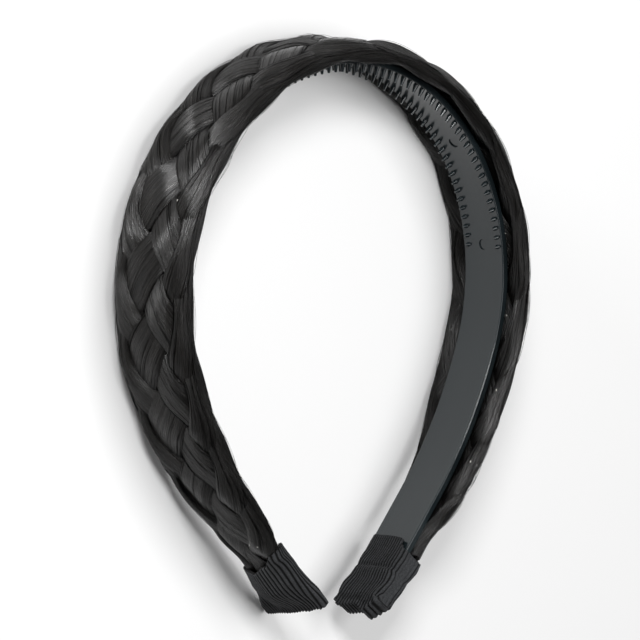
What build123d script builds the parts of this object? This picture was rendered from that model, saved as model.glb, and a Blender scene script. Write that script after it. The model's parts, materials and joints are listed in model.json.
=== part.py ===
"""Braided hair headband lying on its side.

The band is an open loop in the XY plane: its crown points to +Y, its tips to -Y, and +Z runs
across the band, from the edge that it lies on to the edge that faces up. A place on the band is
given by s, the length along its inner face from the crown (the right leg is positive), by across,
measured along +Z from the middle of the band, and by height, measured outwards from the inner face.
"""

import math
import os

from build123d import *

# The comb band: tangent arcs of its inner face, the same on each side of the crown
CROWN_RADIUS = 56.5
CROWN_SWEEP = 110.0
LEG_RADIUS = 122.0
LEG_SWEEP = 20.0
TIP_LENGTH = 32.0
BAND_WIDTH = 14.0
BAND_THICKNESS = 1.8
BAND_EDGE_ROUND = 0.3

# The teeth, in a row along each edge of the inner face, shorter towards the ends of the rows
TOOTH_PITCH = 2.45
TOOTH_REACH = 84.0
TOOTH_EDGE_GAP = 0.8
TOOTH_ALONG = 1.5
TOOTH_ACROSS = 1.7
TOOTH_POINT = 0.6
TOOTH_CROWN_LENGTH = 2.2
TOOTH_END_LENGTH = 1.0
TOOTH_ROOT = 0.4

# The round ejector marks between the rows, at these lengths from the crown on each side
EJECTOR_MARKS = (54.0, 83.0)
EJECTOR_DIAMETER = 2.8
EJECTOR_DEPTH = 0.3

# The braid: five flat strands in a plain weave, laid on the outer face of the band
STRANDS = 5
BRAID_WIDTH = 27.0
STRAND_THICKNESS = 1.95
BRAID_CLEARANCE = 0.15
# Length along the band from one turn to the next at the same edge, over the crown
WEAVE_PITCH = 18.9
# How far the edges of the braid hang down beside the band
EDGE_DROP = 1.6

# The ribbon sleeves over the tips of the band and the ends of the braid
SLEEVE_LENGTH = 22.0
SLEEVE_WALL = 1.0
SLEEVE_CLEARANCE = 0.15
SLEEVE_CORNER = 1.2
SLEEVE_INNER_CORNER = 0.3
SLEEVE_TIP_WIDTH = 24.0
# How deep the ends of the strands reach into a sleeve, at most
SLEEVE_GRIP = 5.0

# A strand's form at its turns at the braid's edges and at its crossings in between: its width as a
# share of the braid's, the others as shares of the strand's thickness. Its swing is how far it rises
# and falls, its lift how far its edges tilt up and down where it climbs.
STRAND_FORM = {
    "turn": {"width": 0.128, "thickness": 1.54, "swing": 0.92, "lift": 0.74},
    "crossing": {"width": 0.369, "thickness": 0.95, "swing": 0.54, "lift": 1.69},
}
# How far a strand's middle travels across, as a share of the braid's width
TRAVEL = 0.82
# How suddenly a strand narrows at its turns, as a power
TURN_SHARPNESS = 7.66
# How far the braid rises above its middle layer, as a share of the strand's thickness
BRAID_RISE = 1.27
# The points round a strand, as shares of its half width and of its half thickness
STRAND_OUTLINE = (
    # across, up
    (-1.0, 0.0),
    (-0.7, 0.44),
    (0.0, 1.0),
    (0.7, 0.44),
    (1.0, 0.0),
    (0.7, -0.44),
    (0.0, -1.0),
    (-0.7, -0.44),
)
STATIONS_PER_PITCH = 8
# Where in the weave the crown lies, in pitches
WEAVE_START = -0.3
# How uneven the braid is: how far its middle has slipped to the upper edge down the left leg, how far
# its upper edge runs ahead of its lower edge down the right leg, and where this begins and has all set
# in, as shares of the length to the sleeve
WEAVE_SLIP = 2.4
WEAVE_SKEW = 5.5
UNEVEN_START = 0.09
SLIP_FULL = 0.34
SKEW_FULL = 0.77
# Where the braid starts to narrow, as a share of the length to the sleeve, and what it narrows to
# inside the sleeve, as shares of its width and thickness
NARROWING_START = 0.72
NARROWED_WIDTH = 0.72
NARROWED_THICKNESS = 0.82
# How far past the band's edge the braid starts to hang down, as a share of its overhang
DROP_START = 0.15

# Worked out from the sizes above
crown_length = CROWN_RADIUS * math.radians(CROWN_SWEEP)
leg_length = LEG_RADIUS * math.radians(LEG_SWEEP)
half_length = crown_length + leg_length + TIP_LENGTH
overhang = (BRAID_WIDTH - BAND_WIDTH) / 2
braid_floor = BAND_THICKNESS + BRAID_CLEARANCE
braid_rise = BRAID_RISE * STRAND_THICKNESS
narrowed_braid_width = NARROWED_WIDTH * BRAID_WIDTH
narrowed_braid_top = braid_floor + 2 * braid_rise * NARROWED_THICKNESS
sleeve_tip = half_length + SLEEVE_CLEARANCE + SLEEVE_WALL
sleeve_mouth = sleeve_tip - SLEEVE_LENGTH
strand_end = sleeve_mouth + SLEEVE_GRIP


def smooth(share):
    """A share from 0 to 1 with a soft start and end."""
    share = min(max(share, 0.0), 1.0)
    return share * share * (3 - 2 * share)


def band_point(s):
    """The point of the inner face at s, and the direction of the band there in radians."""
    along = abs(s)
    crown_angle = min(along, crown_length) / CROWN_RADIUS
    leg_angle = min(max(along - crown_length, 0.0), leg_length) / LEG_RADIUS
    straight = max(along - crown_length - leg_length, 0.0)
    turned = crown_angle + leg_angle
    x = CROWN_RADIUS * math.sin(crown_angle)
    x += LEG_RADIUS * (math.sin(turned) - math.sin(crown_angle)) + straight * math.cos(turned)
    y = CROWN_RADIUS * (math.cos(crown_angle) - 1)
    y += LEG_RADIUS * (math.cos(turned) - math.cos(crown_angle)) - straight * math.sin(turned)
    side = math.copysign(1.0, s)
    return side * x, y, -side * turned


def place(s, across, height):
    """A point in space from its place on the band."""
    x, y, direction = band_point(s)
    return Vector(x - height * math.sin(direction), y + height * math.cos(direction), across)


def cross_plane(s, height=0.0):
    """A plane square to the band, whose X runs across it and whose Y runs inwards."""
    direction = band_point(s)[2]
    forwards = Vector(math.cos(direction), math.sin(direction), 0)
    return Plane(origin=place(s, 0, height), x_dir=Vector(0, 0, 1), z_dir=forwards)


def face_plane(s, across, height):
    """A plane level with the band's face, whose X runs along the band and whose Z runs inwards."""
    direction = band_point(s)[2]
    forwards = Vector(math.cos(direction), math.sin(direction), 0)
    inwards = Vector(math.sin(direction), -math.cos(direction), 0)
    return Plane(origin=place(s, across, height), x_dir=forwards, z_dir=inwards)


def band_line(height):
    """The line of the band at one height, from the left tip over the crown to the right tip."""
    shoulder = crown_length + leg_length
    joints = (-half_length, -shoulder, -crown_length, 0.0, crown_length, shoulder, half_length)
    points = [place(s, 0, height) for s in joints]
    middles = [place((a + b) / 2, 0, height) for a, b in zip(joints, joints[1:])]
    line = [Line(points[0], points[1])]
    for i in (1, 2, 3, 4):
        line.append(ThreePointArc(points[i], middles[i], points[i + 1]))
    line.append(Line(points[5], points[6]))
    return line


def tooth(s, across):
    """An oval tooth that stands inwards from the band, rooted in it, and tapers to a blunt point."""
    shortening = (TOOTH_CROWN_LENGTH - TOOTH_END_LENGTH) * (s / TOOTH_REACH) ** 2
    root = face_plane(s, across, TOOTH_ROOT)
    point = root.offset(TOOTH_ROOT + TOOTH_CROWN_LENGTH - shortening)
    return loft([root * Ellipse(TOOTH_ALONG / 2, TOOTH_ACROSS / 2), point * Circle(TOOTH_POINT / 2)])


def comb_band():
    """The moulded strip with its two rows of teeth and its ejector marks."""
    inner = band_line(0)
    outer = band_line(BAND_THICKNESS)
    ends = [Line(inner[0] @ 0, outer[0] @ 0), Line(inner[-1] @ 1, outer[-1] @ 1)]
    strip = extrude(make_face(inner + outer + ends), BAND_WIDTH / 2, both=True)
    rims = strip.edges().group_by(Axis.Z)
    strip = fillet(rims[0] + rims[-1], min(BAND_EDGE_ROUND, BAND_THICKNESS / 3))
    row = (BAND_WIDTH - TOOTH_ACROSS) / 2 - TOOTH_EDGE_GAP
    last = int(TOOTH_REACH / TOOTH_PITCH)
    teeth = [tooth(i * TOOTH_PITCH, across) for i in range(-last, last + 1) for across in (-row, row)]
    mark = Cylinder(EJECTOR_DIAMETER / 2, 2 * EJECTOR_DEPTH)
    marks = [face_plane(side * s, 0, 0) * mark for s in EJECTOR_MARKS for side in (-1, 1)]
    return strip.fuse(*teeth).cut(*marks)


def over_or_under(crossing):
    """1 where a strand lies over another and -1 where it lies under, changing more slowly at turns."""
    since_turn = crossing % STRANDS
    if since_turn < 1:
        return math.cos(math.pi * (since_turn + 1) / 2)
    if since_turn > STRANDS - 1:
        return math.cos(math.pi * (since_turn - STRANDS + 1) / 2)
    return math.cos(math.pi * since_turn)


def strand_station(turn, strand):
    """The points round a strand where the weave is at this turn."""
    s = WEAVE_PITCH * turn
    crossing = 2 * (turn - WEAVE_START - strand)
    angle = math.pi * crossing / STRANDS
    turning = abs(math.cos(angle)) ** TURN_SHARPNESS
    narrowing = smooth((abs(s) / sleeve_mouth - NARROWING_START) / (1 - NARROWING_START))
    form = {}
    for key, at_crossing in STRAND_FORM["crossing"].items():
        form[key] = at_crossing + (STRAND_FORM["turn"][key] - at_crossing) * turning
    slip = WEAVE_SLIP * smooth((-s / sleeve_mouth - UNEVEN_START) / (SLIP_FULL - UNEVEN_START))
    skew = WEAVE_SKEW * smooth((s / sleeve_mouth - UNEVEN_START) / (SKEW_FULL - UNEVEN_START))
    narrowed = 1 + (NARROWED_WIDTH - 1) * narrowing
    flattened = 1 + (NARROWED_THICKNESS - 1) * narrowing
    half_width = form["width"] * BRAID_WIDTH / 2 * narrowed
    half_thickness = form["thickness"] * STRAND_THICKNESS / 2
    middle = -TRAVEL * BRAID_WIDTH / 2 * math.cos(angle) * narrowed
    swing = form["swing"] * STRAND_THICKNESS * over_or_under(crossing)
    slope = (over_or_under(crossing + 0.25) - over_or_under(crossing - 0.25)) / 2
    lift = form["lift"] * STRAND_THICKNESS * slope * math.sin(angle)
    points = []
    for across_share, up_share in STRAND_OUTLINE:
        even = (middle + half_width * across_share) / (BRAID_WIDTH / 2)
        along = s + skew * (1 - narrowing) * even
        across = BRAID_WIDTH / 2 * even + slip * (1 - narrowing) * (1 - even**2)
        up = swing + lift * across_share + half_thickness * up_share
        past_band = (abs(across) - BAND_WIDTH / 2) / overhang
        hang = EDGE_DROP * smooth((past_band - DROP_START) / (1 - DROP_START))
        points.append(place(along, across, braid_floor + (braid_rise + up) * flattened - hang))
    return points


def strand_facets(strand):
    """The flat facets of one strand, from the last station inside one sleeve to that in the other."""
    end = strand_end / WEAVE_PITCH
    first = math.ceil((-end - WEAVE_START) * STATIONS_PER_PITCH)
    last = math.floor((end - WEAVE_START) * STATIONS_PER_PITCH)
    turns = [WEAVE_START + i / STATIONS_PER_PITCH for i in range(first, last + 1)]
    stations = [strand_station(turn, strand) for turn in turns]
    sides = len(STRAND_OUTLINE)
    facets = []
    for here, there in zip(stations, stations[1:]):
        in_lower_half = here[0].Z + here[sides // 2].Z + there[0].Z + there[sides // 2].Z < 0
        for i in range(sides):
            j = (i + 1) % sides
            corners = [here[i], here[j], there[j], there[i]]
            # The diagonals of the lower half mirror those of the upper, so both halves clear alike
            if in_lower_half:
                corners = corners[1:] + corners[:1]
            facets.append((corners[0], corners[1], corners[2]))
            facets.append((corners[0], corners[2], corners[3]))
    for end_points in (stations[0], stations[-1]):
        for i in range(1, sides - 1):
            facets.append((end_points[0], end_points[i], end_points[i + 1]))
    return facets


def braid_strand(strand):
    """One strand as a solid."""
    return Solid(Shell([Face(Wire.make_polygon(facet)) for facet in strand_facets(strand)]))


def sleeve_section(side, along, width, top, margin, corner):
    """A rounded rectangle square to one leg, larger all round by a margin than what it holds."""
    plane = cross_plane(side * along, top / 2)
    return plane * RectangleRounded(width + 2 * margin, top + 2 * margin, corner)


def end_cap(side):
    """The ribbon sleeve of one leg: open at its mouth, closed and flat at its tip."""
    clear = SLEEVE_CLEARANCE
    skin = SLEEVE_CLEARANCE + SLEEVE_WALL
    mouth_width = max(narrowed_braid_width, BAND_WIDTH)
    held = (
        # along, width, top
        (sleeve_mouth, mouth_width, narrowed_braid_top),
        (strand_end + clear, mouth_width, narrowed_braid_top),
        (half_length + clear, BAND_WIDTH, BAND_THICKNESS),
    )
    tip_width = SLEEVE_TIP_WIDTH - 2 * skin
    inside = [sleeve_section(side, a, w, t, clear, SLEEVE_INNER_CORNER) for a, w, t in held]
    outside = [sleeve_section(side, a, w, t, skin, SLEEVE_CORNER) for a, w, t in held[:2]]
    outside.append(sleeve_section(side, sleeve_tip, tip_width, BAND_THICKNESS, skin, SLEEVE_CORNER))
    hollow = loft(inside, ruled=True)
    return loft(outside, ruled=True) - hollow


def main():
    nodes = {"comb_band": comb_band(), "end_cap_left": end_cap(-1), "end_cap_right": end_cap(1)}
    for strand in range(STRANDS):
        nodes[f"braid_strand_{strand + 1}"] = braid_strand(strand)
    bounds = Compound(list(nodes.values())).bounding_box()
    centre = bounds.center()
    os.makedirs("parts", exist_ok=True)
    for name, solid in nodes.items():
        solid.label = name
        export_step(Pos(-centre.X, -centre.Y, -bounds.min.Z) * solid, f"parts/{name}.step")


main()
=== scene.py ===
"""Braided hair headband: hair strands, ribbon sleeves and moulded plastic on the packed frame.

Lengths are metres in the packed frame: +Y from the tips to the crown, +Z across the band, upwards.
A place on the band is given by s, the length along its inner face from the crown (the right leg is
positive), by across, measured along +Z from the middle of the band, and by height, measured
outwards from the inner face.
"""

import json
import math

import bmesh
import bpy
from mathutils import Matrix, Vector

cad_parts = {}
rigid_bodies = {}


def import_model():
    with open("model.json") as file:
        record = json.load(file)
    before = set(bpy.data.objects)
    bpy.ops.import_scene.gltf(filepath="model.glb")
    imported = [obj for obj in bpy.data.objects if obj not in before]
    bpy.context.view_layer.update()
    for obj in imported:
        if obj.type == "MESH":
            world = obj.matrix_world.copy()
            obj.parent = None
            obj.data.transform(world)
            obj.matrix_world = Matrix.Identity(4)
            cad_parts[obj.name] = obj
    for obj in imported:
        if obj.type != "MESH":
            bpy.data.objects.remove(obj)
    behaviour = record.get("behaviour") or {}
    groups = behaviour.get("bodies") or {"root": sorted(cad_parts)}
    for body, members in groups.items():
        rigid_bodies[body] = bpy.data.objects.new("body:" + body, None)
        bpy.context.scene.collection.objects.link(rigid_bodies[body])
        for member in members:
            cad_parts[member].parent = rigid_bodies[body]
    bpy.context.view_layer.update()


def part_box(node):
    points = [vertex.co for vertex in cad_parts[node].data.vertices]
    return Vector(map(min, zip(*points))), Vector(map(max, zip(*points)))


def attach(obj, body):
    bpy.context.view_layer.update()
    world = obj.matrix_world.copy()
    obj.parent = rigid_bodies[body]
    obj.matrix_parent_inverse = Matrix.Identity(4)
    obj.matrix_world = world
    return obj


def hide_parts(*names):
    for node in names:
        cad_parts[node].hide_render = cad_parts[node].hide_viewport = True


bl_info = {
    "name": "Braided Headband",
    "version": (1, 0, 0),
    "blender": (4, 5, 0),
    "location": "3D View > Sidebar > Headband",
    "description": "Hair strands, ribbon sleeves and moulded plastic of a braided headband",
    "category": "Object",
}

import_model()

# The comb band, as in the packed frame
CROWN_RADIUS = 0.0565
CROWN_SWEEP = math.radians(110)
LEG_RADIUS = 0.122
LEG_SWEEP = math.radians(20)
BAND_WIDTH = 0.014
BAND_THICKNESS = 0.0018
CROWN_LENGTH = CROWN_RADIUS * CROWN_SWEEP
LEG_LENGTH = LEG_RADIUS * LEG_SWEEP

# Where the crown's inner face lies in the frame, mid width
band_low, band_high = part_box("comb_band")
CROWN_Y = band_high[1] - BAND_THICKNESS
MIDDLE_Z = (band_low[2] + band_high[2]) / 2

# The braid: its strands, its gap to the band, how far it hangs past the band's edges, and the lengths
# from the crown to the sleeves and to the strands' ends in them
STRANDS = 5
BRAID_CLEARANCE = 0.00015
EDGE_DROP = 0.0018
SLEEVE_MOUTH = 0.1622
STRAND_END = 0.1685
# A strand's form at its turns and crossings: half its width as a share of the braid's width,
# the others as shares of the strand's thickness
AT_TURN = {"width": 0.095, "thickness": 1.05, "swing": 0.35, "lift": 0.40}
AT_CROSSING = {"width": 0.250, "thickness": 0.56, "swing": 0.42, "lift": 1.10}
# How far a strand's edges bend down where it lies over another, as a share of its thickness
EDGE_BEND = 0.40
# How far a strand's middle travels to either side, as a share of the braid's width, and how suddenly
# it turns
TRAVEL = 0.41
TURN_SHARPNESS = 4.0
# How high the braid's middle lies over the band, as a share of a strand's thickness
BRAID_RISE = 1.27
# Where the first strand turns, in turns of the weave from the crown
WEAVE_START = -0.3
# How uneven the braid is: how far its middle has slipped to the upper edge down the left leg, how far
# its upper edge runs ahead of its lower edge down the right leg, and where this begins and has all
# set in, as shares of the length to the sleeve
WEAVE_SLIP = 0.0024
WEAVE_SKEW = 0.0055
UNEVEN_START = 0.09
SLIP_FULL = 0.34
SKEW_FULL = 0.77
# How the braid gathers towards a sleeve: the lower half narrows early, the upper half late and less
# so on the left leg, the strands get thinner, and the lower edge drops towards the band
LOWER_GATHER = {"start": 0.72, "width": 0.53}
UPPER_GATHER = {"start": 0.92, "width": 0.77, "left wider": 0.07}
GATHERED_THICKNESS = 0.85
LOWER_DROP = 0.0018
# Where the braid is squeezed into the sleeves, and how thin it gets there
SQUEEZE_START = 0.155
SQUEEZE_LENGTH = 0.010
SQUEEZED_THICKNESS = 0.55
# How much fuller a strand's inner half is than its outer half
FULLNESS = 0.4
# Where past the band's edge the hair starts to hang, as a share of what is past it
DROP_START = 0.15
# How much thinner a strand's edges are than those of an oval
LENS_POWER = 0.2
# How finely a strand's skin is made, along it and round it
STRAND_STATIONS = 420
STRAND_POINTS = 96
# The ridges of the strands: how many there are round one, how fast they change along the weave, how
# far apart their patterns are from strand to strand, and how much they widen a strand beside how much
# they raise it
RIDGES_ROUND = 60.0
RIDGE_CHANGE = 0.45
RIDGE_SPACING = 31.7
RIDGE_WIDENING = 0.5

# Loose fibres: their least and greatest length and the room left at a strand's ends, in turns of the
# weave, how far they wander round the strand, in radians, and how far at least and at most they lie
# off it, as shares of its thickness
FIBRE_TURNS = (0.5, 2.2)
FIBRE_END_ROOM = 1.1
FIBRE_WANDER = 0.35
FIBRE_CLEARANCE = 0.02
FIBRE_STAND_OFF = 0.4
# The least and greatest share of the stand-off, how rare the great ones are, how much of it goes
# sideways, and how blunt the fibres' ends are
STAND_OFF_SHARES = (0.02, 1.0)
STAND_OFF_RARITY = 3
STAND_OFF_SIDEWAYS = 0.35
FIBRE_TAPER = 0.3
# How thick a fibre is and how finely it is made, along it and round it
FIBRE_RADIUS = 0.00005
FIBRE_POINTS = 26
FIBRE_SIDES = 3

# The sleeves' sections down from the mouth to the hem, in millimetres: the edges across, the outer
# and inner height, the corners' radius, how wide the inner face is beside the outer one, and how far
# the sleeve is pressed thin towards its lower and its upper edge, as shares
SLEEVE_SECTIONS = {
    "left": (
        # down, lower edge, upper edge, outer, inner, corner, inner share, lower press, upper press
        (0.0, -7.5, 11.6, 5.6, -1.0, 2.4, 1.0, 0.80, 0.60),
        (0.4, -8.2, 11.8, 5.2, -1.0, 2.2, 1.0, 0.60, 0.60),
        (1.0, -12.2, 12.5, 1.7, -0.5, 0.9, 1.0, 0.0, 0.0),
    ),
    "right": (
        (0.0, -8.8, 9.4, 5.4, -1.0, 1.6, 0.80, 0.30, 0.10),
        (0.12, -8.7, 9.4, 5.5, -1.1, 1.5, 0.80, 0.30, 0.10),
        (0.45, -8.2, 8.8, 4.6, -1.1, 1.4, 0.86, 0.20, 0.10),
        (0.55, -8.0, 8.8, 4.5, -1.2, 1.4, 0.88, 0.20, 0.10),
        (0.86, -7.7, 8.6, 3.4, -1.7, 1.3, 0.94, 0.10, 0.10),
        (0.93, -7.6, 8.6, 1.9, -1.1, 1.0, 0.96, 0.0, 0.0),
        (1.0, -7.6, 8.6, 2.4, -1.5, 0.9, 0.98, 0.0, 0.0),
    ),
}
# Where a pressed edge lies between the inner and the outer face, as a share, and how near to the edges
# the pressing stays
PRESSED_LEVEL = 0.4
LOWER_PRESS_POWER = 1.3
UPPER_PRESS_POWER = 3
# The lengths from the crown of a sleeve's mouth and hem, in millimetres
SLEEVE_ENDS = {
    "left": (
        # across share, mouth, hem
        (-1.0, 168.4, 186.0),
        (-0.3, 167.0, 184.9),
        (0.4, 163.8, 183.1),
        (0.85, 160.0, 181.6),
        (1.0, 159.4, 181.2),
    ),
    "right": (
        (-1.0, 165.2, 185.8),
        (-0.5, 165.4, 187.2),
        (0.1, 165.5, 186.6),
        (0.55, 165.7, 188.2),
        (0.80, 168.4, 186.6),
        (1.0, 168.8, 184.4),
    ),
}
# How much further down the mouth is on a sleeve's outer face, in millimetres
MOUTH_SLANT = {"left": 0.0, "right": 1.0}
# Dents and swells of the ribbon, in millimetres: where they are, their reach along and across the
# leg, how high they stand, and how much of them is on the outer face
SLEEVE_FOLDS = {
    "left": (
        # along, across, reach along, reach across, height, outer share
        (161.8, 11.4, 1.6, 1.8, 0.9, 1.0),
        (180.0, -6.5, 3.2, 2.0, -0.7, 1.0),
        (183.5, -2.0, 2.5, 1.6, -0.35, 1.0),
        (172.0, 1.0, 6.0, 8.0, 0.6, 1.0),
        (177.0, 2.0, 6.0, 9.0, 0.3, 0.0),
    ),
    "right": (
        (174.6, 0.5, 0.7, 7.0, -0.55, 0.0),
        (176.6, 1.5, 1.4, 6.0, 0.45, 0.0),
        (170.6, -1.5, 2.2, 3.0, -0.25, 0.0),
        (183.6, 7.2, 2.2, 2.6, 1.3, 0.5),
        (180.0, -6.0, 3.0, 2.0, 0.4, 0.0),
        (178.0, 0.0, 5.0, 8.0, 0.5, 1.0),
    ),
}
# The ribs round a sleeve from its upper edge: how far the first pitch holds, it and the pitch beyond,
# in millimetres, and how strong the ribs are on the sides, as a share
SLEEVE_RIBS = {"left": (14.5, 1.3, 0.95, 1.0), "right": (30.0, 1.05, 1.05, 0.2)}
# How far the ribs shift at a sleeve's crease, as a share of their pitch
RIB_JUMP = {"left": 0.0, "right": 0.5}
CREASE_AT = 0.1755
CREASE_LENGTH = 0.001
# How far up a sleeve's side its ribs start to stand out more, as a share of half its height
RIBS_START = 0.2
# How broad the ribs' crests are: less is broader
RIB_ROUNDNESS = 0.7
# How finely a sleeve's skin is made, down it and round it
SLEEVE_STATIONS = 72
SLEEVE_POINTS = 400
MILLIMETRE = 0.001

# Sewing thread that shows on the hair: each stitch's two ends, as lengths from the crown and places
# across, and the height that the hair is sought from
THREAD_STITCHES = (
    # along, across, height, along, across
    (0.0803, 0.0048, 0.0035, 0.0807, 0.0051),
    (0.1003, 0.0056, 0.0035, 0.1007, 0.0059),
    (0.1192, 0.0083, 0.0035, 0.1197, 0.0085),
    (0.1388, 0.0087, 0.0035, 0.1393, 0.0089),
    (-0.0638, 0.0054, 0.0045, -0.0641, 0.0056),
    (-0.1561, 0.0054, 0.0050, -0.1564, 0.0083),
)
# How far along the view the hair is sought, to either side
STITCH_SEEK = 0.03
# How thick the thread is and how finely it is made, along it and round it
THREAD_RADIUS = 0.00014
THREAD_POINTS = 7
THREAD_SIDES = 6

# Patterns of the hair's surface, as repeats along a strand and round it
HAIR_LINES = (30, 100)
HAIR_LOCKS = (22, 34)
HAIR_KINKS = (110, 150)
# Patterns of the other surfaces, as repeats in a metre
FLOW_LINES = 900
PLASTIC_CLOUDS = 25.0
RIBBON_WEAVE = 2600.0
THREAD_TWIST = 4000.0
# The darkest and lightest tone of a surface, beside its own colour, and the thread's two colours
HAIR_TONES = (0.3, 2.0)
PLASTIC_TONES = (0.85, 1.15)
# The ribbon's darkest and lightest tones are painted shade in its ribs' grooves and painted highlight on
# their crests
RIBBON_PAINTED_LIGHT_TONES = (0.05, 2.8)
THREAD_COLOURS = ((0.4, 0.38, 0.35), (0.7, 0.68, 0.65))
# How deep the fine relief of a surface is
HAIR_RELIEF = 0.00018
PLASTIC_RELIEF = 0.00002
RIBBON_RELIEF = 0.00008

# The photograph: its side in pixels, its scale, and the camera's turn, lift and roll about the band
PHOTO_SIDE = 640
PIXELS_PER_METRE = 3938
CAMERA_TURN = math.radians(-43.3)
CAMERA_LIFT = math.radians(6.0)
CAMERA_ROLL = math.radians(-0.9)
# How far off the camera stands, and its sensor's width in millimetres
CAMERA_DISTANCE = 3.0
SENSOR_WIDTH = 36.0
# The point seen mid picture: how far it lies below the crown, and then in pixels to the right and up
AIM_BELOW_CROWN = 0.075
AIM_SHIFT = (-5.6, 36.9)

# The soft lights on the band: from where in the photograph's axes, and the power beside the key's
SOFT_LIGHTS = (
    # name, right, up, towards the camera, size, share of power
    ("key", -0.6, 0.55, 0.55, 0.28, 1.0),
    ("front", 0.1, 0.4, 0.9, 0.25, 0.2),
)
# The light over the floor: where it hangs from the point seen mid picture, and its size
TOP_LIGHT_PLACE = Vector((0.15, 0.1, 1.3))
TOP_LIGHT_SIZE = 1.0
# Half the length of the floor's sides
FLOOR_REACH = 3.0

# What several node trees give, and what they take
WHOLE_GEOMETRY = [("Geometry", "NodeSocketGeometry")]
BRAID_SIZES = [
    ("Braid Width", "NodeSocketFloat", 0.0264),
    ("Strand Thickness", "NodeSocketFloat", 0.00195),
    ("Weave Pitch", "NodeSocketFloat", 0.0189),
]


def band_place(s, across, height):
    """A point in the frame from its place on the band."""
    along = abs(s)
    crown_angle = min(along, CROWN_LENGTH) / CROWN_RADIUS
    leg_angle = min(max(along - CROWN_LENGTH, 0), LEG_LENGTH) / LEG_RADIUS
    straight = max(along - CROWN_LENGTH - LEG_LENGTH, 0)
    turned = crown_angle + leg_angle
    x = (CROWN_RADIUS - LEG_RADIUS) * math.sin(crown_angle)
    x += (LEG_RADIUS + height) * math.sin(turned) + straight * math.cos(turned)
    y = (CROWN_RADIUS - LEG_RADIUS) * math.cos(crown_angle) - CROWN_RADIUS
    y += (LEG_RADIUS + height) * math.cos(turned) - straight * math.sin(turned)
    return Vector((math.copysign(x, x * s), CROWN_Y + y, MIDDLE_Z + across))


def eased(rows, share):
    """The values of a table at a share between its rows, with soft steps."""
    share = min(max(share, rows[0][0]), rows[-1][0])
    for here, there in zip(rows, rows[1:]):
        if share <= there[0]:
            between = (share - here[0]) / (there[0] - here[0])
            between = between * between * (3 - 2 * between)
            return [a + (b - a) * between for a, b in zip(here[1:], there[1:])]
    return list(rows[-1][1:])


class Formula:
    """A number in a node tree, worked out by Math nodes but written as an ordinary sum."""

    def __init__(self, socket):
        self.socket = socket
        self.tree = socket.id_data

    def __add__(self, other):
        return maths("ADD", self, other)

    def __radd__(self, other):
        return maths("ADD", other, self)

    def __sub__(self, other):
        return maths("SUBTRACT", self, other)

    def __rsub__(self, other):
        return maths("SUBTRACT", other, self)

    def __mul__(self, other):
        return maths("MULTIPLY", self, other)

    def __rmul__(self, other):
        return maths("MULTIPLY", other, self)

    def __truediv__(self, other):
        return maths("DIVIDE", self, other)

    def __pow__(self, other):
        return maths("POWER", self, other)

    def __mod__(self, other):
        return maths("FLOORED_MODULO", self, other)

    def __neg__(self):
        return maths("MULTIPLY", self, -1)

    def __abs__(self):
        return maths("ABSOLUTE", self)


def feed(entry, value):
    """Links a node's input to a formula or socket, or sets it to a plain value."""
    if isinstance(value, Formula):
        value = value.socket
    if isinstance(value, bpy.types.NodeSocket):
        value.id_data.links.new(value, entry)
    else:
        entry.default_value = value


def maths(operation, *values):
    """One Math node over formulas and plain numbers."""
    tree = next(value.tree for value in values if isinstance(value, Formula))
    made = tree.nodes.new("ShaderNodeMath")
    made.operation = operation
    for entry, value in zip(made.inputs, values):
        feed(entry, value)
    return Formula(made.outputs[0])


def sine(angle):
    return maths("SINE", angle)


def cosine(angle):
    return maths("COSINE", angle)


def smaller(one, other):
    return maths("MINIMUM", one, other)


def larger(one, other):
    return maths("MAXIMUM", one, other)


def smooth(share):
    """A share from 0 to 1 with a soft start and end."""
    share = smaller(larger(share, 0), 1)
    return share * share * (3 - 2 * share)


def node(tree, kind, settings=None, **inputs):
    """A node with its settings, and its inputs fed by name, where _ stands for a space."""
    made = tree.nodes.new(kind)
    for key, value in (settings or {}).items():
        setattr(made, key, value)
    for key, value in inputs.items():
        feed(made.inputs[key.replace("_", " ")], value)
    return made


def vector(tree, x, y, z):
    return node(tree, "ShaderNodeCombineXYZ", X=x, Y=y, Z=z).outputs[0]


def new_tree(name, inputs, outputs):
    """A geometry node tree with named inputs and outputs, and its inner ends."""
    tree = bpy.data.node_groups.new(name, "GeometryNodeTree")
    for label, socket_type, default in inputs:
        socket = tree.interface.new_socket(label, in_out="INPUT", socket_type=socket_type)
        if default is not None:
            socket.default_value = default
    for label, socket_type in outputs:
        tree.interface.new_socket(label, in_out="OUTPUT", socket_type=socket_type)
    return tree, tree.nodes.new("NodeGroupInput").outputs, tree.nodes.new("NodeGroupOutput").inputs


def band_point(tree, s, across, height):
    """The vector that a tree works out from a place on the band, as band_place does."""
    along = abs(s)
    crown_angle = smaller(along, CROWN_LENGTH) / CROWN_RADIUS
    leg_angle = smaller(larger(along - CROWN_LENGTH, 0), LEG_LENGTH) / LEG_RADIUS
    straight = larger(along - CROWN_LENGTH - LEG_LENGTH, 0)
    turned = crown_angle + leg_angle
    outwards, downwards = sine(turned), cosine(turned)
    x = (CROWN_RADIUS - LEG_RADIUS) * sine(crown_angle) + (LEG_RADIUS + height) * outwards
    x = (x + straight * downwards) * maths("SIGN", s)
    y = (CROWN_RADIUS - LEG_RADIUS) * cosine(crown_angle) + (LEG_RADIUS + height) * downwards
    y = y - straight * outwards + (CROWN_Y - CROWN_RADIUS)
    return vector(tree, x, y, across + MIDDLE_Z)


def over_or_under(crossing):
    """1 where a strand lies over another and -1 where it lies under, changing more slowly at turns."""
    since_turn = crossing % STRANDS
    between = smaller(larger(since_turn, 1), STRANDS - 1)
    turning = smaller(since_turn, 1) - 1 + larger(since_turn, STRANDS - 1) - (STRANDS - 1)
    return cosine(math.pi * (between + turning / 2))


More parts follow.
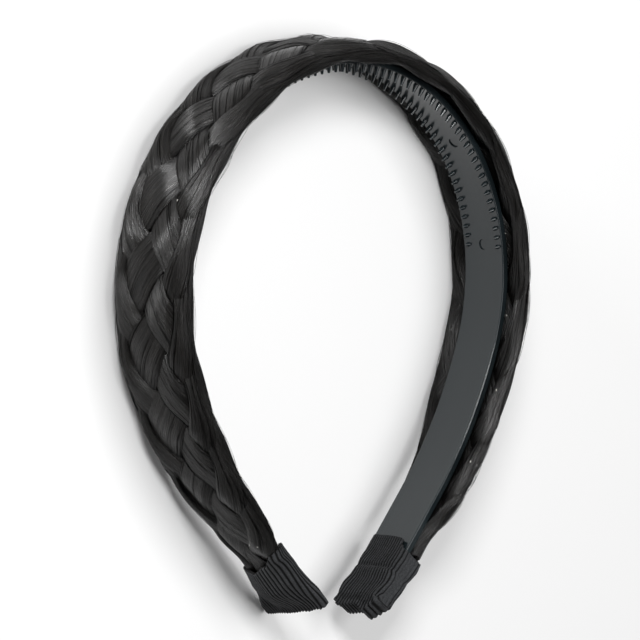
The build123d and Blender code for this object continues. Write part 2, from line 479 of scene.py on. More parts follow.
def braid_place_group():
    """The node group that gives the place of a point of a strand's outline on the plaited braid."""
    wanted = [("Turn", "NodeSocketFloat", 0.0), ("Strand", "NodeSocketFloat", 0.0)]
    wanted += [("Across", "NodeSocketFloat", 0.0), ("Up", "NodeSocketFloat", 0.0)]
    tree, given, result = new_tree(
        "Place on Braid", wanted + BRAID_SIZES, [("Position", "NodeSocketVector")]
    )
    turn, strand = Formula(given["Turn"]), Formula(given["Strand"])
    across_share, up_share = Formula(given["Across"]), Formula(given["Up"])
    width, thickness = Formula(given["Braid Width"]), Formula(given["Strand Thickness"])
    s = Formula(given["Weave Pitch"]) * turn

    crossing = 2 * (turn - WEAVE_START - strand)
    angle = crossing * (math.pi / STRANDS)
    turning = abs(cosine(angle)) ** TURN_SHARPNESS
    form = {key: AT_CROSSING[key] + (AT_TURN[key] - AT_CROSSING[key]) * turning for key in AT_TURN}
    reach = abs(s) / SLEEVE_MOUTH
    lower = smooth((reach - LOWER_GATHER["start"]) / (1 - LOWER_GATHER["start"]))
    upper = smooth((reach - UPPER_GATHER["start"]) / (1 - UPPER_GATHER["start"]))
    even = 2 * (form["width"] * across_share - TRAVEL * cosine(angle))
    upper_width = UPPER_GATHER["width"] - UPPER_GATHER["left wider"] * maths("SIGN", s)
    gathered = larger(even, 0) * (1 + (upper_width - 1) * upper)
    gathered = gathered + smaller(even, 0) * (1 + (LOWER_GATHER["width"] - 1) * lower)
    slip = WEAVE_SLIP * smooth((-s / SLEEVE_MOUTH - UNEVEN_START) / (SLIP_FULL - UNEVEN_START))
    skew = WEAVE_SKEW * smooth((s / SLEEVE_MOUTH - UNEVEN_START) / (SKEW_FULL - UNEVEN_START))
    across = width / 2 * gathered + slip * (1 - lower) * (1 - even * even)
    slope = (over_or_under(crossing + 0.25) - over_or_under(crossing - 0.25)) / 2
    rise = form["swing"] * over_or_under(crossing) + form["lift"] * slope * sine(angle) * across_share
    rise = rise - EDGE_BEND * over_or_under(crossing) * across_share * across_share
    up_share = up_share + FULLNESS * smaller(up_share, 0)
    up = thickness * (BRAID_RISE + rise + form["thickness"] * up_share)
    squeezed = smooth((abs(s) - SQUEEZE_START) / SQUEEZE_LENGTH)
    flattened = 1 + (GATHERED_THICKNESS - 1) * lower
    flattened = flattened + (SQUEEZED_THICKNESS - GATHERED_THICKNESS) * squeezed
    past_band = (abs(across) - BAND_WIDTH / 2) / (width / 2 - BAND_WIDTH / 2)
    hang = EDGE_DROP * smooth((past_band - DROP_START) / (1 - DROP_START))
    hang = hang - LOWER_DROP * lower * smaller(even, 0)
    height = BAND_THICKNESS + BRAID_CLEARANCE + up * flattened - hang

    drawn = s + skew * (1 - lower) * even
    feed(result["Position"], band_point(tree, drawn, across, height))
    return tree


def captured(tree, geometry, label, value):
    """Geometry that carries a number of each point along, and that number."""
    made = tree.nodes.new("GeometryNodeCaptureAttribute")
    made.capture_items.new("FLOAT", label)
    feed(made.inputs[0], geometry)
    feed(made.inputs[1], value)
    return made.outputs[0], Formula(made.outputs[1])


def stored(tree, geometry, label, value, kind="FLOAT", domain="POINT"):
    """Geometry with a value kept under a name, for its material."""
    settings = {"data_type": kind, "domain": domain}
    made = node(
        tree, "GeometryNodeStoreNamedAttribute", settings, Geometry=geometry, Name=label, Value=value
    )
    return made.outputs[0]


def tube_along(tree, rail, ring):
    """A closed tube along a curve."""
    made = node(tree, "GeometryNodeCurveToMesh", Curve=rail, Profile_Curve=ring, Fill_Caps=True)
    return made.outputs[0]


def noise(tree, place, scale, detail=2.0, roughness=0.5):
    """A number from 0 to 1 that changes softly from place to place."""
    made = node(
        tree, "ShaderNodeTexNoise", Vector=place, Scale=scale, Detail=detail, Roughness=roughness
    )
    return Formula(made.outputs[0])


def dressed(tree, geometry, given, result):
    """Ends a tree with whole geometry that wears its material."""
    whole = node(tree, "GeometryNodeRealizeInstances", Geometry=geometry).outputs[0]
    made = node(tree, "GeometryNodeSetMaterial", Geometry=whole, Material=given["Material"])
    feed(result["Geometry"], made.outputs[0])


def on_braid(tree, place, given, turn, strand, across, up):
    """A node of the place group, with the braid's sizes passed on."""
    made = node(
        tree, "GeometryNodeGroup", {"node_tree": place}, Turn=turn, Strand=strand, Across=across, Up=up
    )
    for label, _, _ in BRAID_SIZES:
        feed(made.inputs[label], given[label])
    return made.outputs[0]


def lens_section(angle):
    """The shares across and up of a strand's section, which has thinner edges than an oval."""
    upright = -cosine(angle)
    return sine(angle), upright * abs(upright) ** LENS_POWER


def strand_tree(place):
    """A whole strand: a tube of fine ridges that follows the weave."""
    wanted = [("Strand", "NodeSocketFloat", 0.0), ("Turns", "NodeSocketFloat", 9.0)]
    wanted += [("Stations", "NodeSocketInt", STRAND_STATIONS)]
    wanted += [("Points Round", "NodeSocketInt", STRAND_POINTS)]
    wanted += [("Ridge Depth", "NodeSocketFloat", 0.16)]
    wanted += [("Ridges Round", "NodeSocketFloat", RIDGES_ROUND)]
    wanted += [("Material", "NodeSocketMaterial", None)]
    tree, given, result = new_tree("Hair Strand", wanted + BRAID_SIZES, WHOLE_GEOMETRY)
    factor = node(tree, "GeometryNodeSplineParameter").outputs["Factor"]
    line = node(tree, "GeometryNodeCurvePrimitiveLine").outputs[0]
    rail = node(tree, "GeometryNodeResampleCurve", Curve=line, Count=given["Stations"]).outputs[0]
    rail, along = captured(tree, rail, "Along", factor)
    ring = node(tree, "GeometryNodeCurvePrimitiveCircle", Resolution=given["Points Round"]).outputs[0]
    ring, round_share = captured(tree, ring, "Round", factor)
    tube = tube_along(tree, rail, ring)

    strand, turns = Formula(given["Strand"]), Formula(given["Turns"])
    turn = (2 * along - 1) * turns
    angle = round_share * math.tau
    sideways, upright = lens_section(angle)
    reach = Formula(given["Ridges Round"]) / math.tau
    grain = vector(
        tree, sine(angle) * reach + RIDGE_SPACING * strand, cosine(angle) * reach, turn * RIDGE_CHANGE
    )
    ridge = (noise(tree, grain, 1.0, 2.0, 0.6) - 0.5) * Formula(given["Ridge Depth"])
    widened = sideways * (1 + RIDGE_WIDENING * ridge)
    raised = upright * (1 + ridge)
    spot = on_braid(tree, place, given, turn, strand, widened, raised)
    shaped = node(tree, "GeometryNodeSetPosition", Geometry=tube, Position=spot).outputs[0]
    uv = vector(tree, along, round_share, 0.0)
    dressed(tree, stored(tree, shaped, "UVMap", uv, "FLOAT2", "CORNER"), given, result)
    return tree


def loose_fibre_tree(place):
    """Single fibres that lie along a strand and stand a little off it."""
    wanted = [("Strand", "NodeSocketFloat", 0.0), ("Turns", "NodeSocketFloat", 9.0)]
    wanted += [("Count", "NodeSocketInt", 260), ("Points", "NodeSocketInt", FIBRE_POINTS)]
    wanted += [("Fibre Radius", "NodeSocketFloat", FIBRE_RADIUS)]
    wanted += [("Stand Off", "NodeSocketFloat", FIBRE_STAND_OFF)]
    wanted += [("Seed", "NodeSocketInt", 1), ("Material", "NodeSocketMaterial", None)]
    tree, given, result = new_tree("Loose Fibres", wanted + BRAID_SIZES, WHOLE_GEOMETRY)
    line = node(tree, "GeometryNodeCurvePrimitiveLine").outputs[0]
    rail = node(tree, "GeometryNodeResampleCurve", Curve=line, Count=given["Points"]).outputs[0]
    copies = node(
        tree, "GeometryNodeDuplicateElements", {"domain": "SPLINE"}, Geometry=rail, Amount=given["Count"]
    )
    fibres, fibre = captured(tree, copies.outputs[0], "Fibre", copies.outputs["Duplicate Index"])
    factor = Formula(node(tree, "GeometryNodeSplineParameter").outputs["Factor"])
    seed = Formula(given["Seed"])

    def chance(low, high, salt):
        made = node(tree, "FunctionNodeRandomValue", {"data_type": "FLOAT"})
        feed(made.inputs["ID"], fibre)
        feed(made.inputs["Seed"], seed + salt)
        feed(made.inputs[2], low)
        feed(made.inputs[3], high)
        return Formula(made.outputs[1])

    strand, turns = Formula(given["Strand"]), Formula(given["Turns"])
    span = chance(*FIBRE_TURNS, 10)
    start = chance(-1.0, 1.0, 20) * (turns - FIBRE_END_ROOM) - span / 2
    turn = larger(smaller(start + factor * span, turns), -1 * turns)
    angle = chance(0.0, math.tau, 30) + (factor - 0.5) * chance(-FIBRE_WANDER, FIBRE_WANDER, 40)
    share = chance(*STAND_OFF_SHARES, 50) ** STAND_OFF_RARITY
    bulge = sine(factor * math.pi) * share * Formula(given["Stand Off"])
    sideways, upright = lens_section(angle)
    widened = sideways * (1 + STAND_OFF_SIDEWAYS * bulge)
    raised = upright * (1 + FIBRE_CLEARANCE + bulge)
    spot = on_braid(tree, place, given, turn, strand, widened, raised)
    laid = node(tree, "GeometryNodeSetPosition", Geometry=fibres, Position=spot).outputs[0]
    ring = node(
        tree, "GeometryNodeCurvePrimitiveCircle", Resolution=FIBRE_SIDES, Radius=given["Fibre Radius"]
    )
    taper = larger(sine(factor * math.pi), 0) ** FIBRE_TAPER
    tubes = node(
        tree, "GeometryNodeCurveToMesh", Curve=laid, Profile_Curve=ring.outputs[0], Scale=taper
    ).outputs[0]
    dressed(tree, tubes, given, result)
    return tree


def rib_tree():
    """Raises a ribbon's surface into the ribs its points are counted in, and keeps their crests for
    painted light.
    """
    wanted = [("Geometry", "NodeSocketGeometry", None), ("Rib Height", "NodeSocketFloat", 0.00042)]
    wanted += [("Wander", "NodeSocketFloat", 0.06), ("Wander Scale", "NodeSocketFloat", 220.0)]
    wanted += [("Crumple", "NodeSocketFloat", 0.0003), ("Crumple Scale", "NodeSocketFloat", 330.0)]
    wanted += [("Seed", "NodeSocketInt", 1), ("Material", "NodeSocketMaterial", None)]
    tree, given, result = new_tree("Grosgrain Ribs", wanted, WHOLE_GEOMETRY)
    numbers = {}
    for label in ("rib_count", "rib_strength"):
        made = node(tree, "GeometryNodeInputNamedAttribute", {"data_type": "FLOAT"}, Name=label)
        numbers[label] = Formula(made.outputs[0])
    position = node(tree, "GeometryNodeInputPosition").outputs[0]

    def drift(label, salt):
        shifted = node(tree, "ShaderNodeVectorMath", {"operation": "ADD"})
        feed(shifted.inputs[0], position)
        feed(shifted.inputs[1], vector(tree, Formula(given["Seed"]) + salt, 0.0, 0.0))
        swing = noise(tree, shifted.outputs[0], given[f"{label} Scale"], 1.0) - 0.5
        return swing * Formula(given[label])

    count = numbers["rib_count"] + drift("Wander", 3.0)
    crest = abs(sine(count * math.pi)) ** RIB_ROUNDNESS
    push = crest * numbers["rib_strength"] * Formula(given["Rib Height"]) + drift("Crumple", 7.0)
    offset = node(tree, "ShaderNodeVectorMath", {"operation": "SCALE"})
    feed(offset.inputs[0], node(tree, "GeometryNodeInputNormal").outputs[0])
    feed(offset.inputs["Scale"], push)
    raised = node(
        tree, "GeometryNodeSetPosition", Geometry=given["Geometry"], Offset=offset.outputs[0]
    ).outputs[0]
    # Share of painted highlight at a point: full on a rib's crest, down to painted shade in its groove,
    # and full where the ribs are weak
    crest_painted_light = 1 + (crest - 1) * numbers["rib_strength"]
    dressed(tree, stored(tree, raised, "painted_rib_light", crest_painted_light), given, result)
    return tree


def stitch_tree():
    """Sewing thread along the edges of a mesh."""
    wanted = [("Geometry", "NodeSocketGeometry", None)]
    wanted += [("Thread Radius", "NodeSocketFloat", THREAD_RADIUS)]
    wanted += [("Material", "NodeSocketMaterial", None)]
    tree, given, result = new_tree("Thread Stitches", wanted, WHOLE_GEOMETRY)
    lines = node(tree, "GeometryNodeMeshToCurve", Mesh=given["Geometry"]).outputs[0]
    even = node(tree, "GeometryNodeResampleCurve", Curve=lines, Count=THREAD_POINTS).outputs[0]
    ring = node(
        tree, "GeometryNodeCurvePrimitiveCircle", Resolution=THREAD_SIDES, Radius=given["Thread Radius"]
    )
    dressed(tree, tube_along(tree, even, ring.outputs[0]), given, result)
    return tree


def made_by_nodes(name, tree, values, mesh=None):
    """A plain mesh object made by a geometry node tree with these input values."""
    start = mesh or bpy.data.meshes.new(name)
    piece = new_piece(name, start)
    modifier = piece.modifiers.new(tree.name, "NODES")
    modifier.node_group = tree
    for item in tree.interface.items_tree:
        if item.name in values:
            modifier[item.identifier] = values[item.name]
    seen = piece.evaluated_get(bpy.context.evaluated_depsgraph_get())
    made = bpy.data.meshes.new_from_object(seen)
    piece.modifiers.clear()
    piece.data = made
    bpy.data.meshes.remove(start)
    made.name = name
    made.shade_smooth()
    return piece


def new_piece(name, data):
    """An object of the scene with this mesh, light or camera."""
    piece = bpy.data.objects.new(name, data)
    bpy.context.scene.collection.objects.link(piece)
    return piece


def new_material(name, colour):
    """A material, its node tree and its shader."""
    material = bpy.data.materials.new(name)
    material.use_nodes = True
    shader = material.node_tree.nodes["Principled BSDF"]
    shader.inputs["Base Color"].default_value = (*colour, 1.0)
    return material, material.node_tree, shader


def colour_between(tree, share, dark, light):
    """A colour that goes from dark to light with a share."""
    made = node(tree, "ShaderNodeMix", {"data_type": "RGBA"})
    feed(made.inputs[0], share)
    feed(made.inputs[6], (*dark, 1.0))
    feed(made.inputs[7], (*light, 1.0))
    return made.outputs[2]


def bump(tree, shader, height, distance):
    """Feeds a height, as a share of a distance in metres, into the shader's normal."""
    made = node(tree, "ShaderNodeBump", Height=height, Distance=distance, Strength=1.0)
    feed(shader.inputs["Normal"], made.outputs[0])


def finish(shader, **values):
    """Feeds the shader's inputs by name, where _ stands for a space."""
    for key, value in values.items():
        feed(shader.inputs[key.replace("_", " ")], value)


def toned(colour, tones):
    """A colour in its darkest and its lightest tone."""
    return [[tone * value for value in colour] for tone in tones]


def hair_material(settings):
    """Fine parallel fibres with a sheen across them."""
    material, tree, shader = new_material("hair_fibre", settings.hair_colour)
    uv = node(tree, "ShaderNodeUVMap", {"uv_map": "UVMap"}).outputs[0]
    split = node(tree, "ShaderNodeSeparateXYZ", Vector=uv)
    along, round_share = Formula(split.outputs[0]), Formula(split.outputs[1])

    def pattern(repeats, layer, detail, roughness):
        repeats_along, repeats_round = repeats
        place = vector(tree, along * repeats_along, round_share * repeats_round, layer)
        return noise(tree, place, 1.0, detail, roughness)

    lines = pattern(HAIR_LINES, 0.0, 3.0, 0.7)
    locks = pattern(HAIR_LOCKS, 4.0, 2.0, 0.5)
    kinks = pattern(HAIR_KINKS, 9.0, 1.0, 0.5)
    lightness = smooth((lines * 0.75 + locks * 0.25 - 0.4) / 0.2)
    dark, light = toned(settings.hair_colour, HAIR_TONES)
    tangent = node(tree, "ShaderNodeTangent", {"direction_type": "UV_MAP", "uv_map": "UVMap"})
    finish(
        shader,
        Base_Color=colour_between(tree, lightness, dark, light),
        Roughness=0.42 - 0.17 * lightness,
        Anisotropic=0.95,
        Anisotropic_Rotation=0.25,
        Specular_IOR_Level=0.31,
        Tangent=tangent.outputs[0],
    )
    bump(tree, shader, lines + kinks, HAIR_RELIEF)
    return material


def plastic_material(settings):
    """Glossy moulded plastic with faint flow lines along the band."""
    material, tree, shader = new_material("band_plastic", settings.plastic_colour)
    place = node(tree, "ShaderNodeTexCoord").outputs["Object"]
    across = Formula(node(tree, "ShaderNodeSeparateXYZ", Vector=place).outputs[2])
    flow = noise(tree, vector(tree, 0.0, 0.0, across * FLOW_LINES), 1.0, 3.0)
    cloud = noise(tree, place, PLASTIC_CLOUDS, 1.0)
    wear = cloud * 0.5 + flow * 0.5
    dark, light = toned(settings.plastic_colour, PLASTIC_TONES)
    finish(
        shader,
        Base_Color=colour_between(tree, wear, dark, light),
        Roughness=0.13 + 0.14 * wear,
        Specular_IOR_Level=0.5,
    )
    bump(tree, shader, flow, PLASTIC_RELIEF)
    return material


def ribbon_material(settings):
    """Black grosgrain: painted highlight on the ribs' crests and painted shade in their grooves, and a
    fine weave over them.
    """
    material, tree, shader = new_material("sleeve_ribbon", settings.ribbon_colour)
    place = node(tree, "ShaderNodeTexCoord").outputs["Object"]
    weave = noise(tree, place, RIBBON_WEAVE)
    # Painted light: the colour is lighter on the ribs' crests as painted highlight and darker in their
    # grooves as painted shade; the weave adds a random tone on top
    crest = Formula(node(tree, "ShaderNodeAttribute", {"attribute_name": "painted_rib_light"}).outputs["Fac"])
    lightness = smooth((crest - 0.45) / 0.5) * (0.7 + 1.2 * (weave - 0.5))
    dark, light = toned(settings.ribbon_colour, RIBBON_PAINTED_LIGHT_TONES)
    finish(
        shader,
        Base_Color=colour_between(tree, lightness, dark, light),
        Roughness=0.8,
        Sheen_Weight=0.05,
        Specular_IOR_Level=0.12,
    )
    bump(tree, shader, weave, RIBBON_RELIEF)
    return material


def thread_material():
    """Pale sewing thread."""
    dark, light = THREAD_COLOURS
    material, tree, shader = new_material("pale_thread", light)
    place = node(tree, "ShaderNodeTexCoord").outputs["Object"]
    twist = noise(tree, place, THREAD_TWIST, 1.0)
    finish(shader, Base_Color=colour_between(tree, twist, dark, light), Roughness=0.5)
    return material


class HairSettings(bpy.types.PropertyGroup):
    """Sizes and colour of the braid."""

    braid_width: bpy.props.FloatProperty(
        name="Braid Width", description="Width of the whole braid", default=0.0264, unit="LENGTH"
    )
    strand_thickness: bpy.props.FloatProperty(
        name="Strand Thickness", description="Thickness of one strand", default=0.00195, unit="LENGTH"
    )
    weave_pitch: bpy.props.FloatProperty(
        name="Weave Pitch",
        description="Length from one turn to the next at an edge",
        default=0.0189,
        unit="LENGTH",
    )
    ridge_depth: bpy.props.FloatProperty(
        name="Ridge Depth",
        description="Depth of the ridges, as a share of the strand's thickness",
        default=0.16,
        min=0.0,
    )
    loose_fibres: bpy.props.IntProperty(
        name="Loose Fibres", description="Single fibres lying on each strand", default=260, min=1
    )
    hair_colour: bpy.props.FloatVectorProperty(
        name="Hair Colour",
        description="Colour of the fibres",
        default=(0.0034, 0.0030, 0.0027),
        subtype="COLOR",
    )


class BandSettings(bpy.types.PropertyGroup):
    """Finish of the moulded band."""

    plastic_colour: bpy.props.FloatVectorProperty(
        name="Plastic Colour",
        description="Colour of the band",
        default=(0.0125, 0.0180, 0.0205),
        subtype="COLOR",
    )


class SleeveSettings(bpy.types.PropertyGroup):
    """Sizes and colour of the ribbon sleeves."""

    wall: bpy.props.FloatProperty(
        name="Ribbon Thickness", description="Thickness of the ribbon", default=0.0007, unit="LENGTH"
    )
    rib_height: bpy.props.FloatProperty(
        name="Rib Height", description="How far the ribs stand up", default=0.00042, unit="LENGTH"
    )
    ribbon_colour: bpy.props.FloatVectorProperty(
        name="Ribbon Colour",
        description="Colour of the ribbon",
        default=(0.0170, 0.0176, 0.0188),
        subtype="COLOR",
    )


class StageSettings(bpy.types.PropertyGroup):
    """Floor and light."""

    floor_colour: bpy.props.FloatVectorProperty(
        name="Floor Colour",
        description="Colour of the floor",
        default=(0.86, 0.86, 0.86),
        subtype="COLOR",
    )
    key_power: bpy.props.FloatProperty(
        name="Key Power", description="Power of the main light", default=30.0, unit="POWER"
    )
    floor_power: bpy.props.FloatProperty(
        name="Floor Power", description="Power of the light over the floor", default=13.0, unit="POWER"
    )
    room_light: bpy.props.FloatProperty(
        name="Room Light", description="Strength of the even light around", default=0.12, min=0.0
    )


class HEADBAND_OT_stage(bpy.types.Operator):
    """Floor, soft lights and the camera"""

    bl_idname = "headband.stage"
    bl_label = "Stage"

    def execute(self, context):
        settings = context.scene.headband_stage
        mesh = bpy.data.meshes.new("floor")
        build = bmesh.new()
        bmesh.ops.create_grid(build, x_segments=1, y_segments=1, size=FLOOR_REACH)
        build.to_mesh(mesh)
        build.free()
        floor = new_piece("floor", mesh)
        material, _, shader = new_material("floor_paint", settings.floor_colour)
        finish(shader, Roughness=0.9)
        mesh.materials.append(material)

        back, right, up = view_axes()
        target = Vector((0, CROWN_Y - AIM_BELOW_CROWN, MIDDLE_Z))
        target += (right * AIM_SHIFT[0] + up * AIM_SHIFT[1]) / PIXELS_PER_METRE
        camera = bpy.data.cameras.new("camera")
        camera.sensor_width = SENSOR_WIDTH
        camera.lens = SENSOR_WIDTH * CAMERA_DISTANCE * PIXELS_PER_METRE / PHOTO_SIDE
        camera.clip_end = 2 * CAMERA_DISTANCE + 2 * FLOOR_REACH
        seat = new_piece("camera", camera)
        seat.matrix_world = turned_to(right, up, back, target + back * CAMERA_DISTANCE)
        context.scene.camera = seat

        world = bpy.data.worlds.new("studio")
        world.use_nodes = True
        world.node_tree.nodes["Background"].inputs[0].default_value = (1, 1, 1, 1)
        world.node_tree.nodes["Background"].inputs[1].default_value = settings.room_light
        context.scene.world = world
        context.scene.view_settings.view_transform = "Standard"
        for name, to_right, upwards, forwards, size, share in SOFT_LIGHTS:
            offset = right * to_right + up * upwards + back * forwards
            soft_light(name, offset, size, settings.key_power * share, target)
        soft_light("top", TOP_LIGHT_PLACE, TOP_LIGHT_SIZE, settings.floor_power, target)
        return {"FINISHED"}


def view_axes():
    """The photograph's view: towards the camera, to its right and up."""
    level = Vector((math.sin(CAMERA_TURN), 0, math.cos(CAMERA_TURN)))
    back = level * math.cos(CAMERA_LIFT) + Vector((0, math.sin(CAMERA_LIFT), 0))
    right = Vector((math.cos(CAMERA_TURN), 0, -math.sin(CAMERA_TURN)))
    up = back.cross(right)
    rolled = right * math.cos(CAMERA_ROLL) + up * math.sin(CAMERA_ROLL)
    return back, rolled, up * math.cos(CAMERA_ROLL) - right * math.sin(CAMERA_ROLL)


def turned_to(right, up, back, place):
    """A matrix with these axes at this place."""
    turned = Matrix((right, up, back)).transposed().to_4x4()
    turned.translation = place
    return turned


def soft_light(name, offset, size, power, target):
    """A square area light at an offset from the target, on which it shines."""
    data = bpy.data.lights.new(name, "AREA")
    data.shape = "SQUARE"
    data.size = size
    data.energy = power
    light = new_piece(name, data)
    back = offset.normalized()
    right = Vector((0, 0, 1)).cross(back).normalized()
    light.matrix_world = turned_to(right, back.cross(right), back, target + offset)


class HEADBAND_OT_band(bpy.types.Operator):
    """Glossy finish of the moulded band"""

    bl_idname = "headband.band"
    bl_label = "Comb Band"

    def execute(self, context):
        band = bpy.data.objects["comb_band"]
        band.data.materials.clear()
        band.data.materials.append(plastic_material(context.scene.headband_band))
        return {"FINISHED"}


class HEADBAND_OT_strands(bpy.types.Operator):
    """The five plaited hair strands"""

    bl_idname = "headband.strands"
    bl_label = "Hair Strands"

    def execute(self, context):
        settings = context.scene.headband_hair
        place = braid_place_group()
        strand_nodes, fibre_nodes = strand_tree(place), loose_fibre_tree(place)
        shared = {
            "Turns": STRAND_END / settings.weave_pitch,
            "Braid Width": settings.braid_width,
            "Strand Thickness": settings.strand_thickness,
            "Weave Pitch": settings.weave_pitch,
            "Material": hair_material(settings),
        }
        for number in range(1, STRANDS + 1):
            shared["Strand"] = float(number - 1)
            values = {**shared, "Ridge Depth": settings.ridge_depth}
            body = made_by_nodes(f"hair_strand_{number}", strand_nodes, values)
            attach(body, "root")
            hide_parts(f"braid_strand_{number}")
            values = {**shared, "Count": settings.loose_fibres, "Seed": 100 * number}
            fibres = made_by_nodes(f"loose_fibres_{number}", fibre_nodes, values)
            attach(fibres, "root")
        return {"FINISHED"}


class HEADBAND_OT_stitches(bpy.types.Operator):
    """Pale thread ends that show on the hair"""

    bl_idname = "headband.stitches"
    bl_label = "Thread Stitches"

    def execute(self, context):
        build = bmesh.new()
        for along, across, height, end_along, end_across in THREAD_STITCHES:
            ends = [band_place(along, across, height), band_place(end_along, end_across, height)]
            ends = [build.verts.new(on_hair(end)) for end in ends]
            build.edges.new(ends)
        mesh = bpy.data.meshes.new("stitch_lines")
        build.to_mesh(mesh)
        build.free()
        values = {"Material": thread_material()}
        stitches = made_by_nodes("thread_stitches", stitch_tree(), values, mesh)
        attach(stitches, "root")
        return {"FINISHED"}


def on_hair(point):
    """The place on the hair that the photograph shows where this point is seen."""
    back = view_axes()[0]
    start = point + back * STITCH_SEEK
    found = []
    for number in range(1, STRANDS + 1):
        hair = bpy.data.objects[f"hair_strand_{number}"]
        hit, spot, _, _ = hair.ray_cast(start, -back, distance=2 * STITCH_SEEK)
        if hit:
            found.append(spot)
    return max(found, key=back.dot) if found else point


def section_point(share, half_width, half_height, corner):
    """The point of a rounded rectangle this far round it, from its lower edge over its outer face."""
    side, bend = half_height - corner, corner * math.pi / 2
    flat = 2 * (half_width - corner)
    runs = (side, bend, flat, bend, 2 * side, bend, flat, bend, side)
    left = share * sum(runs)
    point, heading = Vector((-half_width, 0.0)), math.pi / 2
    for number, run in enumerate(runs):
        step = min(left, run)
        left -= step
        if number % 2:
            after = heading - step / corner
            bow = Vector((math.sin(heading) - math.sin(after), math.cos(after) - math.cos(heading)))
            point += corner * bow
            heading = after
        else:
            point += step * Vector((math.cos(heading), math.sin(heading)))
    return point


def sleeve_place(name, form, down, around):
    """Where a point of a sleeve's skin lies, in millimetres, and how far up the side, as a share."""
    lower, upper, outer, inner, corner, inner_share, lower_press, upper_press = form
    half_width, half_height = (upper - lower) / 2, (outer - inner) / 2
    across, height = section_point(around, half_width, half_height, corner)
    share, side_share = across / half_width, abs(height) / half_height
    level = (height / half_height + 1) / 2
    mouth, hem = eased(SLEEVE_ENDS[name], share)
    mouth += MOUTH_SLANT[name] * level
    along = mouth + (hem - mouth) * down
    across = across * (inner_share + (1 - inner_share) * level) + (upper + lower) / 2
    pressed = lower_press * max(-share, 0) ** LOWER_PRESS_POWER
    pressed += upper_press * max(share, 0) ** UPPER_PRESS_POWER
    level += (PRESSED_LEVEL - level) * pressed
    height = inner + (outer - inner) * level
    for at, middle, reach, spread, swell, outer_share in SLEEVE_FOLDS[name]:
        near = math.exp(-(((along - at) / reach) ** 2) - ((across - middle) / spread) ** 2)
        height += swell * near * (outer_share * level - (1 - outer_share) * (1 - level))
    return along, across, height, side_share


def ribs_at(name, along, from_edge, side_share):
    """How many ribs lie between a sleeve's upper edge and a point, and how strong they are there."""
    hold, pitch, fine_pitch, side_strength = SLEEVE_RIBS[name]
    ribs = min(from_edge, hold) / pitch + max(from_edge - hold, 0) / fine_pitch
    jump = min(max((along * MILLIMETRE - CREASE_AT) / CREASE_LENGTH, 0), 1)
    flatness = min(max((side_share - RIBS_START) / (1 - RIBS_START), 0), 1)
    return ribs + RIB_JUMP[name] * jump, side_strength + (1 - side_strength) * flatness


def sleeve_mesh(name, side):
    """A sleeve's outer skin, open at its mouth and sewn flat at its hem, with its ribs counted."""
    build = bmesh.new()
    count = build.verts.layers.float.new("rib_count")
    strength = build.verts.layers.float.new("rib_strength")
    rows = []
    for i in range(SLEEVE_STATIONS + 1):
        down = i / SLEEVE_STATIONS
        form = eased(SLEEVE_SECTIONS[name], down)
        lower, upper, outer, inner, corner = form[:5]
        section_round = 2 * (upper - lower + outer - inner) - (8 - 2 * math.pi) * corner
        row = []
        for j in range(SLEEVE_POINTS):
            around = j / SLEEVE_POINTS
            along, across, height, side_share = sleeve_place(name, form, down, around)
            spot = band_place(side * along * MILLIMETRE, across * MILLIMETRE, height * MILLIMETRE)
            skin_point = build.verts.new(spot)
            from_edge = abs(around - 0.5) * section_round
            skin_point[count], skin_point[strength] = ribs_at(name, along, from_edge, side_share)
            row.append(skin_point)
        rows.append(row)
    for above, below in zip(rows, rows[1:]):
        for j in range(SLEEVE_POINTS):
            k = (j + 1) % SLEEVE_POINTS
            build.faces.new((above[j], above[k], below[k], below[j]))
    hem_row, half = rows[-1], SLEEVE_POINTS // 2
    build.faces.new((hem_row[0], hem_row[1], hem_row[-1]))
    for j in range(1, half - 1):
        build.faces.new((hem_row[j], hem_row[j + 1], hem_row[-j - 1], hem_row[-j]))
    build.faces.new((hem_row[half - 1], hem_row[half], hem_row[half + 1]))
    bmesh.ops.recalc_face_normals(build, faces=build.faces)
    mesh = bpy.data.meshes.new(f"{name}_sleeve_skin")
    build.to_mesh(mesh)
    build.free()
    return mesh


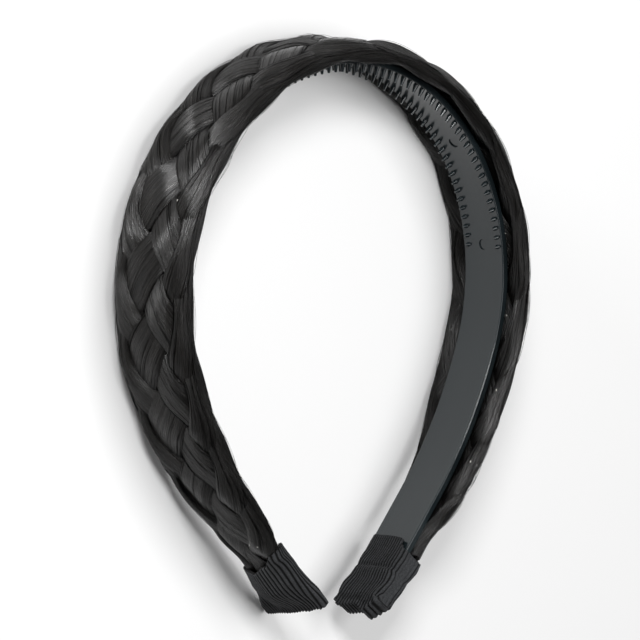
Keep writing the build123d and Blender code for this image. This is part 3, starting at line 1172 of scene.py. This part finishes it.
class HEADBAND_OT_sleeves(bpy.types.Operator):
    """The two ribbon sleeves on the tips"""

    bl_idname = "headband.sleeves"
    bl_label = "Ribbon Sleeves"

    def execute(self, context):
        settings = context.scene.headband_sleeves
        material = ribbon_material(settings)
        ribs = rib_tree()
        for name, side in (("left", -1), ("right", 1)):
            mesh = sleeve_mesh(name, side)
            values = {"Rib Height": settings.rib_height, "Material": material, "Seed": 2 + side}
            sleeve = made_by_nodes(f"ribbon_sleeve_{name}", ribs, values, mesh)
            wall = sleeve.modifiers.new("Wall", "SOLIDIFY")
            wall.thickness = settings.wall
            wall.offset = -1.0
            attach(sleeve, "root")
            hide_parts(f"end_cap_{name}")
        return {"FINISHED"}


class HEADBAND_PT_sidebar(bpy.types.Panel):
    """Sizes, colours and pieces of the headband"""

    bl_idname = "HEADBAND_PT_sidebar"
    bl_label = "Braided Headband"
    bl_space_type = "VIEW_3D"
    bl_region_type = "UI"
    bl_category = "Headband"

    def draw(self, context):
        for name, group in setting_groups.items():
            box = self.layout.box()
            box.label(text=group.__doc__.rstrip("."))
            for label in group.__annotations__:
                box.prop(getattr(context.scene, name), label)
            for operator in piece_operators[name]:
                box.operator(operator.bl_idname)


setting_groups = {
    "headband_hair": HairSettings,
    "headband_band": BandSettings,
    "headband_sleeves": SleeveSettings,
    "headband_stage": StageSettings,
}
piece_operators = {
    "headband_hair": (HEADBAND_OT_strands, HEADBAND_OT_stitches),
    "headband_band": (HEADBAND_OT_band,),
    "headband_sleeves": (HEADBAND_OT_sleeves,),
    "headband_stage": (HEADBAND_OT_stage,),
}
classes = [*setting_groups.values(), *sum(piece_operators.values(), ()), HEADBAND_PT_sidebar]


def register():
    for entry in classes:
        bpy.utils.register_class(entry)
    for name, group in setting_groups.items():
        setattr(bpy.types.Scene, name, bpy.props.PointerProperty(type=group))


def unregister():
    for name in setting_groups:
        delattr(bpy.types.Scene, name)
    for entry in reversed(classes):
        bpy.utils.unregister_class(entry)


def main():
    register()
    bpy.ops.headband.band()
    bpy.ops.headband.strands()
    bpy.ops.headband.stitches()
    bpy.ops.headband.sleeves()
    bpy.ops.headband.stage()


if __name__ == "__main__":
    main()
